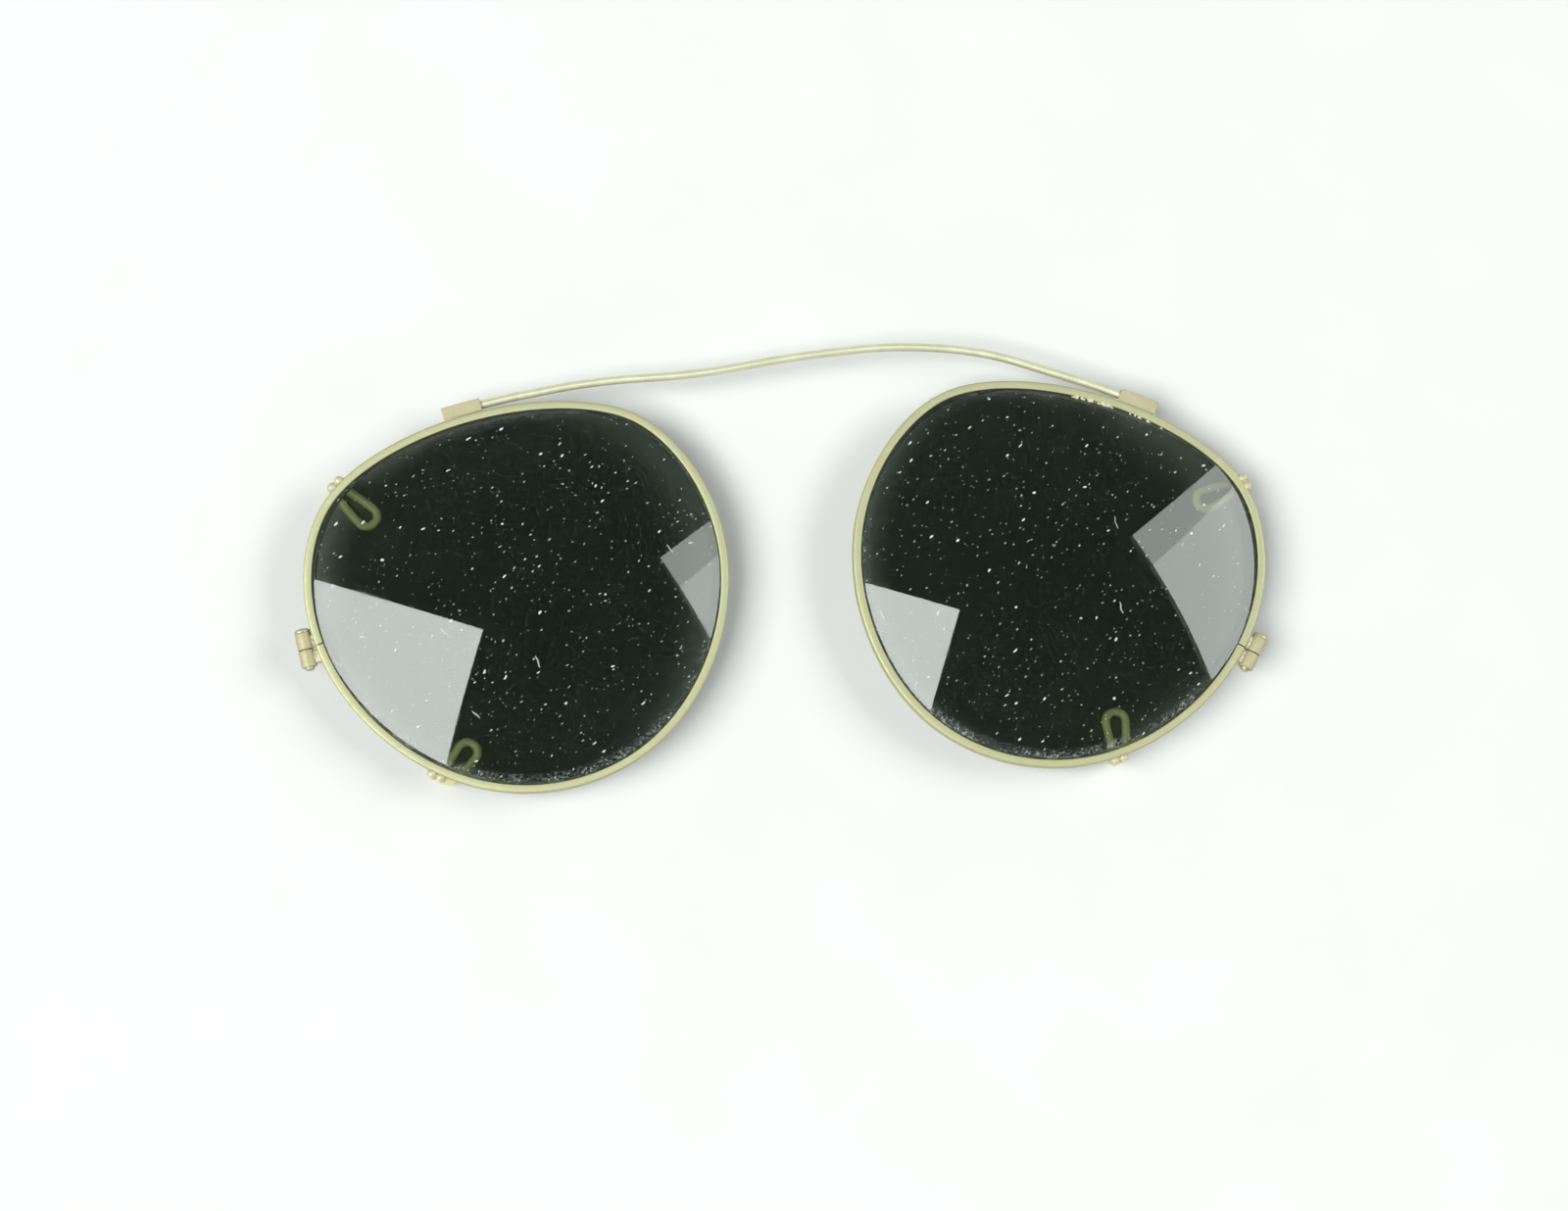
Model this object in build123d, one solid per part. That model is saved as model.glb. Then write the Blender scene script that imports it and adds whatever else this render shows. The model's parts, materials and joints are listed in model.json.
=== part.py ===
from build123d import *
import os
from math import cos, pi, radians, sin, tan

# Clip-on sun spectacles: two mirror-image glazed rims, joined by a sprung bridge wire over the
# nose, with two hairpin wire hooks behind each rim that grip the wearer's own spectacles.
# They lie face up on their four hooks: +X from the left-hand rim to the right-hand rim,
# +Y towards the bridge wire, +Z out of the lens fronts. Millimetres.
# "Left" and "right" are as seen in that view.

# ---- driving dimensions ----

# Rim centreline of the left unit, seen from the front, about the middle of the unit. It is a
# closed chain of tangent arcs, each turning the same angle. Its distance from the middle to the
# tangent whose outward normal points at angle q is RIM_MEAN + sum(size * cos(n * (q - turn))).
RIM_MEAN = 22.75
RIM_WAVES = ((2, 0.83, 10), (3, 0.82, 48), (4, 0.29, -28), (5, 0.14, -1), (6, 0.08, 15))
ARC_COUNT = 24
RIM_WIDTH = 0.92
RIM_DEPTH = 1.7
RIM_EDGE_ROUND = 0.22
GROOVE_DEPTH = 0.45
GROOVE_HALF_MOUTH = 0.62
RIM_SPLIT = 0.16

HALF_SPACING = 30.46
UNIT_TURN = -3.0

LENS_BASE_RADIUS = 75.0
LENS_THICKNESS = 1.9
LENS_CLEARANCE = 0.03
BEVEL_SLOPE = 0.75

BLOCK_LENGTH = 4.5
BLOCK_WIDTH = 1.42
BLOCK_DEPTH = 1.5
BLOCK_EDGE_ROUND = 0.12
BORE_CLEARANCE = 0.02
BORE_DEPTH = 3.7
SOLDER_BED = 0.06
SOLDER_INSET = 0.15
SOLDER_SHOWING = 0.35
SOLDER_CLIMB = 0.1

BRIDGE_WIRE = 0.95
BRIDGE_INSERTION = 3.5

BARREL_DIAMETER = 1.8
BARREL_LENGTH = 1.9
BARREL_OUT = 1.62
BARREL_SEAM = 0.1
BARREL_EDGE = 0.08
CLOSING_SOLDER_DEPTH = 1.1
CLOSING_SOLDER_SETBACK = 0.2
SCREW_SHANK = 1.1
SCREW_CLEARANCE = 0.03
SCREW_HEAD_LENGTH = 0.55
SCREW_HEAD_ROUND = 0.2
SCREW_TIP = 0.4
SCREW_TIP_EDGE = 0.15
SLOT_WIDTH = 0.25
SLOT_DEPTH = 0.25

HOOK_WIRE = 0.95
HOOK_PITCH = 1.05
HOOK_NOTCH = 0.15
NOTCH_CLEARANCE = 0.01
HOOK_FRONT = 0.8
HOOK_KNEE = 1.5
HOOK_KNEE_BEND = 2.0
HOOK_RAKE = 0.4
HOOK_DEPTH = 4.5
HOOK_BEND = 1.2
HOOK_NECK = 2.1
HOOK_NECK_SPREAD = 1.9
HOOK_NECK_BEND = 2.0
HOOK_LOOP_SPREAD = 2.55
HOOK_LOOP_BEND = 1.1
HOOK_END_ROUND = 0.25
HOOK_SOLDER_OUT = 0.3
HOOK_SOLDER_DEPTH = 1.3
HOOK_SOLDER_DROP = 0.05

# Where each fitting sits: the outward normal's angle on the rim, in the left unit's own view
# (the right unit is mirrored, so the same angle means the matching place). Block and closing add
# how far they are turned off the rim's run. Hooks add how far their legs drift along the rim on
# the way down, the lean of the hairpin about the rim's normal, and the hairpin's length.
FITTINGS = {
    "left": {
        "block": (107.5, -1.0),
        "closing": (201.6, -8.0),
        "upper_hook": (138.3, 0.0, -0.5, 5.35),
        "lower_hook": (245.7, 0.9, -11.5, 5.05),
    },
    "right": {
        "block": (111.4, 0.0),
        "closing": (208.0, 0.0),
        "upper_hook": (146.2, -0.2, 10.5, 4.85),
        "lower_hook": (251.0, -1.1, 11.8, 5.3),
    },
}

# The bridge wire's corners between the two blocks, at rest.
BRIDGE_ROUTE = (
    (-21.5, 23.81),
    (-9.0, 24.24),
    (1.5, 25.88),
    (13.0, 26.81),
    (23.5, 25.86),
)
BRIDGE_LEAD = 2.2

# The middle of the whole object's box, measured from the point between the two units.
BOX_MIDDLE = (-0.546, 2.122)

# ---- derived values ----

ARC_TURN = 360 / ARC_COUNT
BASE_HEIGHT = HOOK_DEPTH + HOOK_WIRE / 2
RIM_HALF = RIM_WIDTH / 2
HOOK_OUT = RIM_HALF - HOOK_NOTCH + HOOK_WIRE / 2
BLOCK_OUT = RIM_HALF + SOLDER_BED + BLOCK_WIDTH / 2


def along(angle):
    """Unit vector at an angle in the rim's plane."""
    return Vector(cos(radians(angle)), sin(radians(angle)), 0)


def arc_radius(index):
    """Bend radius of one arc: the mean over its turn of the curve's own bend radius."""
    middle = (index + 0.5) * ARC_TURN
    radius = RIM_MEAN
    for n, size, turn in RIM_WAVES:
        half = radians(n * ARC_TURN / 2)
        radius -= (n * n - 1) * size * cos(radians(n * (middle - turn))) * sin(half) / half
    return radius


def rim_arcs():
    """The chain of arcs as (centre, radius), the first one starting where the normal is +X."""
    distance = RIM_MEAN + sum(size * cos(radians(n * turn)) for n, size, turn in RIM_WAVES)
    slope = sum(n * size * sin(radians(n * turn)) for n, size, turn in RIM_WAVES)
    centre = Vector(distance, slope, 0) - along(0) * arc_radius(0)
    arcs = [(centre, arc_radius(0))]
    for index in range(1, ARC_COUNT):
        step = arc_radius(index - 1) - arc_radius(index)
        centre = centre + along(index * ARC_TURN) * step
        arcs.append((centre, arc_radius(index)))
    return arcs


ARCS = rim_arcs()


def rim_point(angle):
    """Point of the rim's centreline where the outward normal has this angle."""
    centre, radius = ARCS[int(angle // ARC_TURN) % ARC_COUNT]
    return centre + along(angle) * radius


def fitting_plane(angle):
    """Plane at the rim's centreline: X outwards, Y along the rim anticlockwise, Z to the front."""
    return Plane(origin=rim_point(angle), x_dir=along(angle), z_dir=(0, 0, 1))


def ring(points, rounded=0.0):
    """Solid ring round the rim's path. points are a section's corners, (outwards, forwards)."""
    pieces = []
    for index, (centre, radius) in enumerate(ARCS):
        start = index * ARC_TURN
        outwards = along(start)
        plane = Plane(origin=centre, x_dir=outwards, z_dir=outwards.cross(Vector(0, 0, 1)))
        corners = [(radius + x, y) for x, y in points]
        section = make_face(Polyline(corners, close=True))
        if rounded:
            section = fillet(section.vertices().sort_by(Axis.X)[-2:], rounded)
        pieces.append(revolve(plane * section, Axis(centre, (0, 0, 1)), ARC_TURN))
    return Part() + pieces


def plate(offset, low, high):
    """Flat plate with the rim's outline moved outwards by offset, from low to high in Z."""
    edges = []
    for index, (centre, radius) in enumerate(ARCS):
        reach = radius + offset
        turns = (index, index + 0.5, index + 1)
        edges.append(ThreePointArc(*[centre + along(turn * ARC_TURN) * reach for turn in turns]))
    outline = make_face(Wire(edges))
    return Pos(0, 0, low) * extrude(outline, high - low)


# ---- the pieces of one unit, in the left unit's own view ----


def hook_legs(place, radius):
    """Two straight rods where a hook's legs run down the rim, as a cutter."""
    rod = Cylinder(radius, 3 * RIM_DEPTH)
    rods = [Pos(HOOK_OUT, side * HOOK_PITCH / 2, 0) * rod for side in (-1, 1)]
    return fitting_plane(place[0]) * (Part() + rods)


def block_frame(fittings):
    """Middle of the bridge block: X out from the rim, Y along the block away from the nose."""
    angle, turn = fittings["block"]
    return fitting_plane(angle) * Pos(BLOCK_OUT, 0, 0) * Rot(0, 0, turn)


def closing_axis(fittings):
    """Middle of the closing: Z along the barrels, from the lower one up to the screw's head."""
    angle, turn = fittings["closing"]
    return fitting_plane(angle) * Pos(BARREL_OUT, 0, 0) * Rot(0, 0, turn) * Rot(90, 0, 0)


def rim(fittings):
    """Eyewire: a rounded strip bent to the lens outline, grooved inside, split at its closing.

    The hooks' legs are let into shallow notches across its outside.
    """
    half = RIM_DEPTH / 2
    section = [
        (RIM_HALF, -half),
        (RIM_HALF, half),
        (-RIM_HALF, half),
        (-RIM_HALF, GROOVE_HALF_MOUTH),
        (-RIM_HALF + GROOVE_DEPTH, 0),
        (-RIM_HALF, -GROOVE_HALF_MOUTH),
        (-RIM_HALF, -half),
    ]
    body = ring(section, RIM_EDGE_ROUND)
    for name in ("upper_hook", "lower_hook"):
        body -= hook_legs(fittings[name], HOOK_WIRE / 2 + NOTCH_CLEARANCE)
    split = fitting_plane(fittings["closing"][0]) * Box(3 * RIM_WIDTH, RIM_SPLIT, 2 * RIM_DEPTH)
    return body - split


def lens():
    """Curved glass with parallel spherical faces and a full-width V edge that sits in the groove."""
    apex = -RIM_HALF + GROOVE_DEPTH - LENS_CLEARANCE
    reach = 4 * LENS_THICKNESS
    sag = rim_point(90).length ** 2 / (2 * LENS_BASE_RADIUS)
    front_top = LENS_THICKNESS / 2 + sag
    outer = Pos(0, 0, front_top - LENS_BASE_RADIUS) * Sphere(LENS_BASE_RADIUS)
    inner_radius = LENS_BASE_RADIUS - LENS_THICKNESS
    inner = Pos(0, 0, front_top - LENS_BASE_RADIUS) * Sphere(inner_radius)
    glass = plate(apex + 1, -reach, reach) & (outer - inner)
    bevel = [
        (apex, 0),
        (apex - BEVEL_SLOPE * reach, reach),
        (apex + 2, reach),
        (apex + 2, -reach),
        (apex - BEVEL_SLOPE * reach, -reach),
    ]
    return glass - ring(bevel)


def bridge_block(fittings):
    """Small square bar on top of the rim, bored lengthwise from its nose end for the bridge wire."""
    body = Box(BLOCK_WIDTH, BLOCK_LENGTH, BLOCK_DEPTH)
    body = fillet(body.edges().filter_by(Axis.Y), BLOCK_EDGE_ROUND)
    bore = Cylinder(BRIDGE_WIRE / 2 + BORE_CLEARANCE, 2 * BORE_DEPTH)
    body -= Pos(0, -BLOCK_LENGTH / 2, 0) * Rot(90, 0, 0) * bore
    return block_frame(fittings) * body


def bridge_block_solder(fittings):
    """Bed of solder between the block and the rim's outside, showing a little past each end."""
    depth = BLOCK_OUT - BLOCK_WIDTH / 2
    bed = Box(
        depth + SOLDER_CLIMB,
        BLOCK_LENGTH + 2 * SOLDER_SHOWING,
        BLOCK_DEPTH - 2 * SOLDER_INSET,
    )
    bed = Pos(-(BLOCK_WIDTH + depth - SOLDER_CLIMB) / 2, 0, 0) * bed
    bed -= Box(BLOCK_WIDTH, BLOCK_LENGTH, BLOCK_DEPTH)
    return block_frame(fittings) * bed - plate(RIM_HALF, -RIM_DEPTH, RIM_DEPTH)


def barrel(fittings, side):
    """Half of the rim's closing: a short tube beside the split. side is 1 above it, -1 below."""
    tube = Cylinder(BARREL_DIAMETER / 2, BARREL_LENGTH)
    tube = chamfer(tube.edges().filter_by(GeomType.CIRCLE), BARREL_EDGE)
    tube -= Cylinder(SCREW_SHANK / 2 + SCREW_CLEARANCE, 2 * BARREL_LENGTH)
    return closing_axis(fittings) * Pos(0, 0, side * (BARREL_SEAM + BARREL_LENGTH) / 2) * tube


def closing_solder(fittings):
    """The two fillets of solder that hold the barrels to the rim, one on each side of the split."""
    axis = closing_axis(fittings)
    length = BARREL_LENGTH - 2 * CLOSING_SOLDER_SETBACK
    middle = (BARREL_SEAM + CLOSING_SOLDER_SETBACK + length) / 2
    pad = Box(BARREL_OUT - CLOSING_SOLDER_SETBACK, CLOSING_SOLDER_DEPTH, length)
    inwards = (BARREL_OUT - CLOSING_SOLDER_SETBACK) / 2
    pads = [Pos(-inwards, 0, side * middle) * pad for side in (-1, 1)]
    tubes = Cylinder(BARREL_DIAMETER / 2, 3 * BARREL_LENGTH)
    return axis * (Part() + pads - tubes) - plate(RIM_HALF, -RIM_DEPTH, RIM_DEPTH)


def closing_screw(fittings):
    """Screw along both barrels: slotted round head above, plain shank, tip showing below."""
    stack = 2 * BARREL_LENGTH + BARREL_SEAM
    head_middle = (stack + SCREW_HEAD_LENGTH) / 2
    head = Pos(0, 0, head_middle) * Cylinder(BARREL_DIAMETER / 2, SCREW_HEAD_LENGTH)
    head = fillet(head.edges().filter_by(GeomType.CIRCLE).sort_by(Axis.Z)[-1:], SCREW_HEAD_ROUND)
    shank = Pos(0, 0, -SCREW_TIP / 2) * Cylinder(SCREW_SHANK / 2, stack + SCREW_TIP)
    tip_edge = shank.edges().filter_by(GeomType.CIRCLE).sort_by(Axis.Z)[:1]
    shank = chamfer(tip_edge, SCREW_TIP_EDGE)
    top = stack / 2 + SCREW_HEAD_LENGTH
    slot = Pos(0, 0, top) * Box(2 * BARREL_DIAMETER, SLOT_WIDTH, 2 * SLOT_DEPTH)
    return closing_axis(fittings) * (head + shank - slot)


def hook_leg(place, side):
    """Corners of one leg of a hook, from its foot at the rim's front to the end of the loop."""
    angle, drift, lean, length = place
    hairpin = Pos(HOOK_OUT - HOOK_RAKE, drift, -HOOK_DEPTH) * Rot(0, 0, lean)
    return [
        Pos(HOOK_OUT, side * HOOK_PITCH / 2, HOOK_FRONT).position,
        Pos(HOOK_OUT, side * HOOK_PITCH / 2, -HOOK_KNEE).position,
        (hairpin * Pos(0, side * HOOK_PITCH / 2, 0)).position,
        (hairpin * Pos(-HOOK_NECK, side * HOOK_NECK_SPREAD / 2, 0)).position,
        (hairpin * Pos(-length, side * HOOK_LOOP_SPREAD / 2, 0)).position,
    ]


def hook(place):
    """Hairpin of wire: two legs down the rim's outside, drawn under it and inwards to a loop."""
    path_points = hook_leg(place, 1) + hook_leg(place, -1)[::-1]
    bends = [HOOK_KNEE_BEND, HOOK_BEND, HOOK_NECK_BEND, HOOK_LOOP_BEND]
    path = FilletPolyline(path_points, radius=bends + bends[::-1])
    wire = sweep(Pos(path_points[0]) * Circle(HOOK_WIRE / 2), path)
    ends = wire.edges().filter_by(GeomType.CIRCLE).group_by(Axis.Z)[-1]
    return fitting_plane(place[0]) * fillet(ends, HOOK_END_ROUND)


def hook_solder(place):
    """Solder between the hook's two legs and the rim's outside."""
    reach = RIM_HALF + HOOK_SOLDER_OUT
    pad = Box(reach, 2.1 * HOOK_PITCH, HOOK_SOLDER_DEPTH)
    pad = fitting_plane(place[0]) * Pos(reach / 2, 0, -HOOK_SOLDER_DROP) * pad
    return pad - hook_legs(place, HOOK_WIRE / 2) - plate(RIM_HALF, -RIM_DEPTH, RIM_DEPTH)


# ---- placing the units and joining them ----


def unit_location(side):
    """Where the middle of a unit is in the whole object."""
    offset = -HALF_SPACING if side == "left" else HALF_SPACING
    x, y = offset - BOX_MIDDLE[0], -BOX_MIDDLE[1]
    return Pos(x, y, BASE_HEIGHT) * Rot(0, 0, UNIT_TURN)


def place(shape, side):
    """Moves a shape from the left unit's own view to its place in the whole object."""
    if side == "right":
        shape = mirror(shape, about=Plane.YZ)
    return unit_location(side) * shape


def place_point(point, side):
    """Moves a point from the left unit's own view to its place in the whole object."""
    x = -point.X if side == "right" else point.X
    return (unit_location(side) * Pos(x, point.Y, point.Z)).position


def unit(side):
    """Every piece of one unit, as {node name: solid}."""
    fittings = FITTINGS[side]
    pieces = {
        "rim": rim(fittings),
        "lens": lens(),
        "bridge_block": bridge_block(fittings),
        "bridge_block_solder": bridge_block_solder(fittings),
        "upper_barrel": barrel(fittings, 1),
        "lower_barrel": barrel(fittings, -1),
        "closing_solder": closing_solder(fittings),
        "closing_screw": closing_screw(fittings),
    }
    for name in ("upper_hook", "lower_hook"):
        pieces[name] = hook(fittings[name])
        pieces[name + "_solder"] = hook_solder(fittings[name])
    return {f"{side}_{name}": place(piece, side) for name, piece in pieces.items()}


def wire_end(side):
    """Where the bridge wire stops inside a block, and where it may first bend outside it."""
    middle = block_frame(FITTINGS[side])
    mouth = -BLOCK_LENGTH / 2
    stops = (mouth + BRIDGE_INSERTION, mouth - BRIDGE_LEAD)
    return [place_point((middle * Pos(0, stop, 0)).position, side) for stop in stops]


def bridge_wire():
    """One hard-drawn wire from block to block: straight in the bores, gently bent between them."""
    left, right = wire_end("left"), wire_end("right")
    middle = [Vector(x - BOX_MIDDLE[0], y - BOX_MIDDLE[1], BASE_HEIGHT) for x, y in BRIDGE_ROUTE]
    points = left + middle + right[::-1]
    radii = []
    for before, corner, after in zip(points, points[1:], points[2:]):
        run_in, run_out = corner - before, after - corner
        half_turn = radians(run_in.get_angle(run_out)) / 2
        radii.append(0.45 * min(run_in.length, run_out.length) / tan(half_turn))
    print("bridge wire bend radii", [round(radius) for radius in radii])
    path = FilletPolyline(points, radius=radii)
    section = Plane(origin=points[0], z_dir=points[1] - points[0]) * Circle(BRIDGE_WIRE / 2)
    wire = sweep(section, path)
    print("bridge wire length", round(path.length, 2), "volume over section",
          round(wire.volume / (pi * BRIDGE_WIRE**2 / 4), 2))
    return wire


def main():
    os.makedirs("parts", exist_ok=True)
    nodes = {**unit("left"), **unit("right"), "bridge_wire": bridge_wire()}
    for name, shape in nodes.items():
        export_step(shape, f"parts/{name}.step")
    box = Compound([piece for shape in nodes.values() for piece in shape.solids()]).bounding_box()
    print("box", box.min, box.max)


main()
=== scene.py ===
import json
import math
import random

import bmesh
import bpy
import numpy as np
from mathutils import Matrix, Vector

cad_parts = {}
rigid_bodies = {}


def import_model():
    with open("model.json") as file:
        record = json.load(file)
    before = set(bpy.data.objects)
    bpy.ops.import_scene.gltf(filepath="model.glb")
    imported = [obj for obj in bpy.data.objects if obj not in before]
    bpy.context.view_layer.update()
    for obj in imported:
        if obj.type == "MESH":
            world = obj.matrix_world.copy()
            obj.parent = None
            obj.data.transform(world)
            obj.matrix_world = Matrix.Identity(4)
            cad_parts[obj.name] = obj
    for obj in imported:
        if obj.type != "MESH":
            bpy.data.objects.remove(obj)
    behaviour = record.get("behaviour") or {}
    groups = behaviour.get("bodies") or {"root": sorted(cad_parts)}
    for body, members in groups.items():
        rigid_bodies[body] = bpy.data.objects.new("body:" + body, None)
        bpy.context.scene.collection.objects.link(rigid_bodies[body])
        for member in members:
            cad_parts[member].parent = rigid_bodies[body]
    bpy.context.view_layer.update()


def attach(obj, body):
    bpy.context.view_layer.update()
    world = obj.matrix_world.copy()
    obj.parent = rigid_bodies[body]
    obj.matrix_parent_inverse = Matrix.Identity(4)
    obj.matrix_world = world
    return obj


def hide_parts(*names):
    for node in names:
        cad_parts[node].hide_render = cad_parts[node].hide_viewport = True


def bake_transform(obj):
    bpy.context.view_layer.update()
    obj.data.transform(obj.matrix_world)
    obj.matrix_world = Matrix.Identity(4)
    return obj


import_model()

# Clip-on sun spectacles lying face up on their hooks. All lengths below are millimetres and are
# turned into metres when a mesh is made. Each unit is built in the left unit's own view, about
# the middle of its lens, and then put in place; the right unit is the mirror image.

# ---- sizes, nearly all shared with the CAD model ----

RIM_MEAN = 22.75
RIM_WAVES = ((2, 0.83, 10), (3, 0.82, 48), (4, 0.29, -28), (5, 0.14, -1), (6, 0.08, 15))
RIM_HALF = 0.46
RIM_DEPTH = 1.7
GROOVE_DEPTH = 0.45
GROOVE_HALF_MOUTH = 0.62
RIM_EDGE_ROUND = 0.22
RIM_SPLIT = 0.16
LENS_BASE_RADIUS = 75.0
LENS_THICKNESS = 1.9
LENS_CLEARANCE = 0.03
BEVEL_SLOPE = 0.75
BLOCK = (1.42, 4.5, 1.5)
SOLDER_BED = 0.06
SOLDER_SHOWING = 0.33
BLOCK_OUT = RIM_HALF + SOLDER_BED + BLOCK[0] / 2
BORE_RADIUS = 0.495
BORE_DEPTH = 3.7
WIRE_RADIUS = 0.475
WIRE_END_ROUND = 0.12
BRIDGE_INSERTION = 3.5
BRIDGE_LEAD = 2.2
BARREL_RADIUS = 0.9
BARREL_LENGTH = 1.9
BARREL_OUT = 1.62
BARREL_SEAM = 0.1
BARREL_BORE_RADIUS = 0.58
SCREW_SHANK_RADIUS = 0.55
SCREW_HEAD_LENGTH = 0.55
SCREW_TIP = 0.4
SLOT_HALF_WIDTH = 0.13
SLOT_DEPTH = 0.26
WEB_START = 0.11
WEB_LENGTH = 1.62
HOOK_PITCH = 1.05
HOOK_NOTCH = 0.15
NOTCH_CLEARANCE = 0.01
HOOK_OUT = RIM_HALF - HOOK_NOTCH + WIRE_RADIUS
HOOK_FRONT = 0.8
HOOK_KNEE = 1.5
HOOK_RAKE = 0.4
HOOK_DEPTH = 4.5
HOOK_NECK = 2.1
HOOK_NECK_SPREAD = 1.9
HOOK_LOOP_SPREAD = 2.55
HOOK_BENDS = (2.0, 1.2, 2.0, 1.1)
FOOT_ROUND = 0.34
SEAT_BACK = -0.68
SEAT_FRONT = 0.54
HALF_SPACING = 30.46
UNIT_TURN = -3.0
BOX_MIDDLE = (-0.546, 2.122)
BASE_HEIGHT = HOOK_DEPTH + WIRE_RADIUS
BRIDGE_ROUTE = ((-21.5, 23.81), (-9.0, 24.24), (1.5, 25.88), (13.0, 26.81), (23.5, 25.86))
FITTINGS = {
    "left": {
        "block": (107.5, -1.0),
        "closing": (201.6, -8.0),
        "upper_hook": (138.3, 0.0, -0.5, 5.35),
        "lower_hook": (245.7, 0.9, -11.5, 5.05),
    },
    "right": {
        "block": (111.4, 0.0),
        "closing": (208.0, 0.0),
        "upper_hook": (146.2, -0.2, 10.5, 4.85),
        "lower_hook": (251.0, -1.1, 11.8, 5.3),
    },
}

# ---- camera, made first ----

CAMERA_DISTANCE = 300.0
CAMERA_YAW, CAMERA_PITCH, CAMERA_ROLL = 4.67, 7.0, 2.95
CAMERA_SHIFT = (0.83, 2.85)
CAMERA_AIM = (0.007, 0.127)
CAMERA_ORIGIN = Vector((BOX_MIDDLE[0] + CAMERA_AIM[0], BOX_MIDDLE[1] + CAMERA_AIM[1],
                        -BASE_HEIGHT - RIM_DEPTH / 2))
SENSOR = 36.0
IMAGE_WIDTH = 1600
MM_PER_PIXEL = 0.1112


def make_camera():
    """The camera looks down on the spectacles from a little below their lower edge."""
    turn = (
        Matrix.Rotation(math.radians(CAMERA_ROLL), 4, "Z")
        @ Matrix.Rotation(math.radians(-CAMERA_PITCH), 4, "X")
        @ Matrix.Rotation(math.radians(CAMERA_YAW), 4, "Y")
    ).inverted()
    eye = turn @ Vector((-CAMERA_SHIFT[0], -CAMERA_SHIFT[1], CAMERA_DISTANCE)) - CAMERA_ORIGIN
    data = bpy.data.cameras.new("camera")
    data.sensor_width = SENSOR
    data.lens = CAMERA_DISTANCE / MM_PER_PIXEL / IMAGE_WIDTH * SENSOR
    data.clip_start = 0.01
    camera = bpy.data.objects.new("camera", data)
    camera.matrix_world = Matrix.Translation(eye / 1000) @ turn
    bpy.context.scene.collection.objects.link(camera)
    bpy.context.scene.camera = camera


make_camera()

# ---- the rim's outline ----


def outline(q, offset=0.0):
    """Points at outward-normal angles q (degrees) on the rim's centreline moved out by offset."""
    a = np.radians(np.asarray(q, float))
    h = np.full_like(a, RIM_MEAN + offset)
    slope = np.zeros_like(a)
    for n, size, turn in RIM_WAVES:
        phase = n * (a - math.radians(turn))
        h += size * np.cos(phase)
        slope -= n * size * np.sin(phase)
    return np.stack([h * np.cos(a) - slope * np.sin(a), h * np.sin(a) + slope * np.cos(a)], -1)


def bend_radius(q):
    """Bend radius of the rim's centreline where the outward normal points at q."""
    a = math.radians(q)
    waves = sum((n * n - 1) * s * math.cos(n * (a - math.radians(t))) for n, s, t in RIM_WAVES)
    return RIM_MEAN - waves


def frame_at(q):
    """Fitting frame on the rim: X outwards, Y anticlockwise along the rim, Z to the front."""
    x, y = outline(q)
    a = math.radians(q)
    return Matrix(
        (
            (math.cos(a), -math.sin(a), 0, x),
            (math.sin(a), math.cos(a), 0, y),
            (0, 0, 1, 0),
            (0, 0, 0, 1),
        )
    )


def shift(x, y, z):
    return Matrix.Translation((x, y, z))


def spin(angle, axis):
    return Matrix.Rotation(math.radians(angle), 4, axis)


def unit_matrix(side):
    """From the left unit's own view to the whole object, in millimetres."""
    x = -HALF_SPACING if side == "left" else HALF_SPACING
    place = shift(x - BOX_MIDDLE[0], -BOX_MIDDLE[1], BASE_HEIGHT) @ spin(UNIT_TURN, "Z")
    if side == "right":
        place = place @ Matrix.Scale(-1, 4, (1, 0, 0))
    return place


# ---- mesh helpers ----


def to_object(name, points, faces, matrix, smooth_angle=40.0, marks=None):
    """Mesh object from points in millimetres moved by matrix. marks are values kept per point."""
    mesh = bpy.data.meshes.new(name)
    mesh.from_pydata([(matrix @ Vector(p)) / 1000 for p in points], [], faces)
    work = bmesh.new()
    work.from_mesh(mesh)
    bmesh.ops.recalc_face_normals(work, faces=work.faces)
    work.to_mesh(mesh)
    work.free()
    mesh.shade_smooth()
    mesh.set_sharp_from_angle(angle=math.radians(smooth_angle))
    for label, values in (marks or {}).items():
        mesh.attributes.new(label, "FLOAT", "POINT").data.foreach_set("value", values)
    piece = bpy.data.objects.new(name, mesh)
    bpy.context.scene.collection.objects.link(piece)
    return piece


def loft(rings, closed=False):
    """Points and faces through rings of equal length, capped at both ends unless closed."""
    count = len(rings[0])
    points = [tuple(p) for ring in rings for p in ring]
    faces = []
    for i in range(len(rings) if closed else len(rings) - 1):
        a, b = i * count, (i + 1) % len(rings) * count
        for j in range(count):
            k = (j + 1) % count
            faces.append((a + j, a + k, b + k, b + j))
    if not closed:
        faces.append(tuple(range(count)))
        faces.append(tuple(range(len(points) - count, len(points))))
    return points, faces


def rounded_section(corners, pieces=5):
    """Closed 2-D outline from (x, y, corner radius)."""
    out = []
    for i, (x, y, radius) in enumerate(corners):
        here = Vector((x, y))
        before = (Vector(corners[i - 1][:2]) - here).normalized()
        after = (Vector(corners[(i + 1) % len(corners)][:2]) - here).normalized()
        half = before.angle(after) / 2
        reach = radius / math.tan(half)
        centre = here + (before + after).normalized() * (radius / math.sin(half))
        start, end = here + before * reach - centre, here + after * reach - centre
        sweep = start.angle(end)
        for j in range(pieces + 1):
            t = j / pieces
            mixed = start * math.sin((1 - t) * sweep) + end * math.sin(t * sweep)
            out.append(tuple(centre + mixed / math.sin(sweep)))
    return out


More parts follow.
